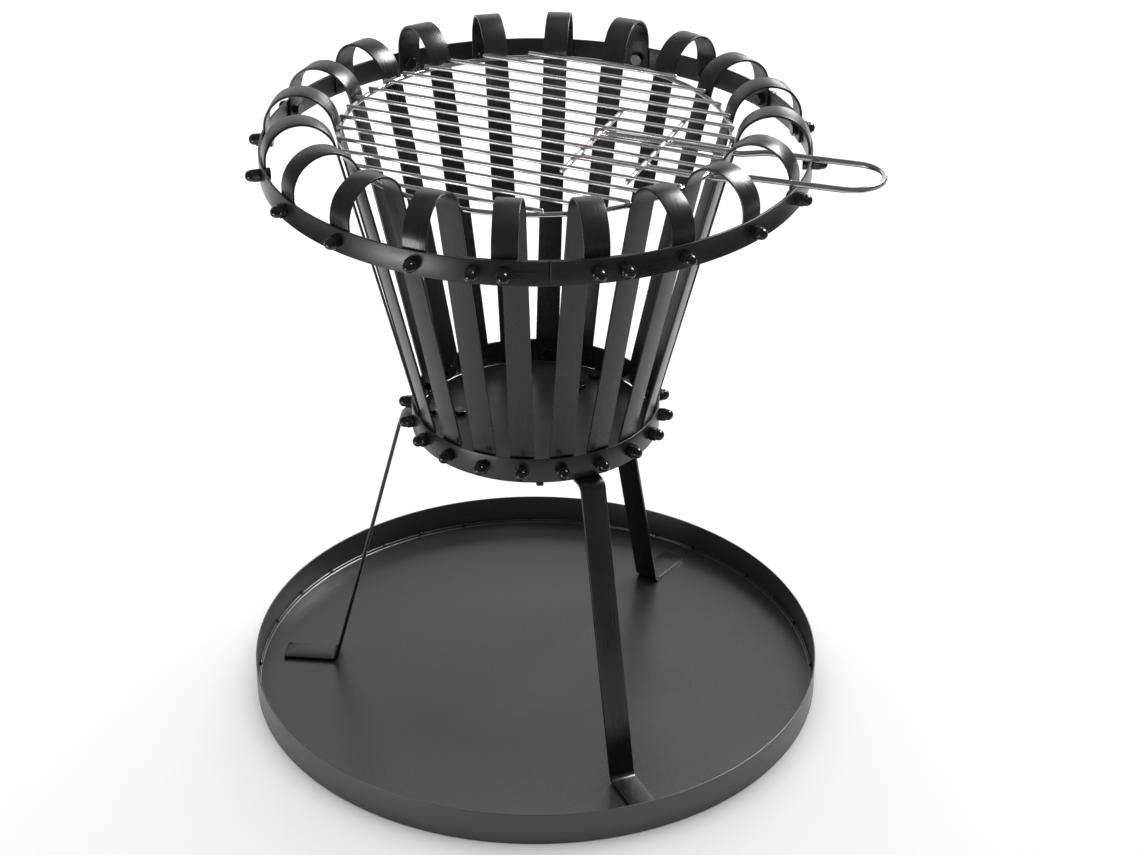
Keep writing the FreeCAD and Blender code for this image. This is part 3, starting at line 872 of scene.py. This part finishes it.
def grate_handle():
    """One rod bent to a long loop, its two ends welded under the crossbars."""
    line = handle_line()
    half = Vector((0, HANDLE_HALF_WIDTH, 0))
    left = [Vector((distance, 0, z)) + half for distance, z, _ in line]
    distance, z, angle = line[-1]
    outward = Vector((math.cos(angle), 0, math.sin(angle))) * HANDLE_HALF_WIDTH
    loop = []
    steps = 28
    for i in range(1, steps):
        t = math.pi * i / steps
        loop.append(Vector((distance, 0, z)) + outward * math.sin(t) + half * math.cos(t))
    right = [point - 2 * half for point in reversed(left)]
    rod("grate_handle", left + loop + right, HANDLE_WIRE, HANDLE_CHROME, HANDLE_AZIMUTH, "_loop")


def welds(name, places, size, azimuth):
    """Flattened beads between rods that cross."""
    solid = Solid()
    for place in places:
        solid.bead(Vector(place), (size, size, size * WELD_FLATNESS))
    solid.piece(name, WELD, "grate", "grate_chrome", turn=azimuth)


def grate_welds():
    """Beads where wires cross the rim and crossbars, and where the handle meets both."""
    places = []
    for offset in wire_offsets():
        reach = math.sqrt(RIM_R ** 2 - offset ** 2)
        places += [(reach, offset, RIM_TOP), (-reach, offset, RIM_TOP)]
        if abs(offset) < CROSSBAR_HALF:
            places += [(distance, offset, RIM_TOP) for distance in CROSSBAR_OFFSETS]
    welds("grate_weld_beads", places, GRATE_WELD, GRATE_AZIMUTH)
    reach = math.sqrt(RIM_R ** 2 - HANDLE_HALF_WIDTH ** 2)
    places = []
    for side in (HANDLE_HALF_WIDTH, -HANDLE_HALF_WIDTH):
        places += [(distance, side, RIM_BOTTOM) for distance in (*CROSSBAR_OFFSETS, reach)]
    welds("handle_weld_beads", places, HANDLE_WELD, HANDLE_AZIMUTH)


# ---- stage: floor, light, camera ----------------------------------------

def flat_sheet(name, centre, size, material):
    """A level sheet of the stage."""
    x, y, z = centre
    wide, deep = size[0] / 2, size[1] / 2
    signs = ((-1, -1), (1, -1), (1, 1), (-1, 1))
    corners = [(x + wide * across, y + deep * back, z) for across, back in signs]
    mesh = bpy.data.meshes.new(name)
    mesh.from_pydata(corners, [], [(0, 1, 2, 3)])
    mesh.materials.append(material)
    sheet = bpy.data.objects.new(name, mesh)
    bpy.context.scene.collection.objects.link(sheet)
    return sheet


def stage_floor():
    """A pale floor, with black cards on it that only the gloss of the paint sees."""
    pale = Look("pale_floor", Roughness=0.9, Base_Color=(0.92, 0.92, 0.92, 1))
    flat_sheet("studio_floor", (0, 0, STAGE_FLOOR_Z), (12.0, 12.0), pale.material)
    black = Look("black_card", Roughness=0.9, Base_Color=(0.01, 0.01, 0.01, 1))
    for name, centre, size in (("front_card", (0.35, -1.35, 0.002), (2.2, 1.0)),
                               ("right_card", (1.15, -0.05, 0.002), (0.9, 1.4)),
                               ("corner_card", (0.80, -0.66, 0.003), (0.80, 0.56)),
                               ("left_side_card", (-1.02, 0.15, 0.002), (0.85, 0.95))):
        card = flat_sheet(name, centre, size, black.material)
        card.visible_camera = False
        card.visible_diffuse = False
        card.visible_shadow = False


def soft_box(name, place, target, size, radiance):
    """A rectangular lamp that gives off radiance evenly over its face."""
    data = bpy.data.lights.new(name, "AREA")
    data.shape = "RECTANGLE"
    data.size, data.size_y = size
    data.energy = radiance * math.pi * size[0] * size[1]
    lamp = bpy.data.objects.new(name, data)
    lamp.location = place
    lamp.rotation_mode = "QUATERNION"
    lamp.rotation_quaternion = (Vector(target) - Vector(place)).to_track_quat("-Z", "Y")
    lamp.visible_camera = False
    bpy.context.scene.collection.objects.link(lamp)
    return lamp


def lights():
    """Soft boxes above, behind and low on the left, in a dim even surround."""
    world = bpy.data.worlds.new("studio")
    world.use_nodes = True
    world.node_tree.nodes["Background"].inputs["Color"].default_value = (1, 1, 1, 1)
    world.node_tree.nodes["Background"].inputs["Strength"].default_value = 0.14
    bpy.context.scene.world = world
    # the ceiling whitens the floor, but would grey the black paint if it were reflected
    ceiling = soft_box("ceiling", (0, 0.9, 2.6), (0, 0.9, 0), (5.0, 4.0), 2.2)
    ceiling.visible_glossy = False
    # the key and the low card only put highlights on the paint and the plating
    key = soft_box("key", (1.34, 0.94, 1.97), (0, 0, 0.5), (1.0, 1.0), 31.0)
    key.visible_diffuse = False
    soft_box("backdrop", (0, 3.2, 1.5), (0, 0, 0.9), (6.0, 2.4), 0.75)
    soft_box("right_back", (1.1, 2.7, 0.95), (0, 0, 0.5), (0.8, 0.9), 4.5)
    left_card = soft_box("left_card", (-0.82, -0.70, 0.03), (-0.20, -0.20, 0.5), (0.45, 0.45), 11.0)
    left_card.visible_diffuse = False
    bpy.context.scene.view_settings.view_transform = "Standard"


def camera():
    """Stands in front of the basket and looks down at it."""
    data = bpy.data.cameras.new("camera")
    data.sensor_width = CAMERA_SENSOR
    data.lens = CAMERA_LENS
    data.shift_x = CAMERA_SHIFT
    eye = bpy.data.objects.new("camera", data)
    eye.location = CAMERA_PLACE
    eye.rotation_euler = (math.radians(90 - CAMERA_DIP), 0, 0)
    bpy.context.scene.collection.objects.link(eye)
    bpy.context.scene.camera = eye


# ---- build --------------------------------------------------------------

tray_floor()
tray_wall()
tray_tacks()
upper_ring()
ring_splice()
lower_band()
for strap_number, strap_azimuth in enumerate(STRAP_AZIMUTHS, start=1):
    strap(strap_number, strap_azimuth)
base_plate()
for leg_number, leg_azimuth in enumerate(LEG_AZIMUTHS, start=1):
    leg(leg_number, leg_azimuth)
fasteners()
grate_wires()
grate_rim()
grate_crossbars()
grate_handle()
grate_welds()
stage_floor()
lights()
camera()
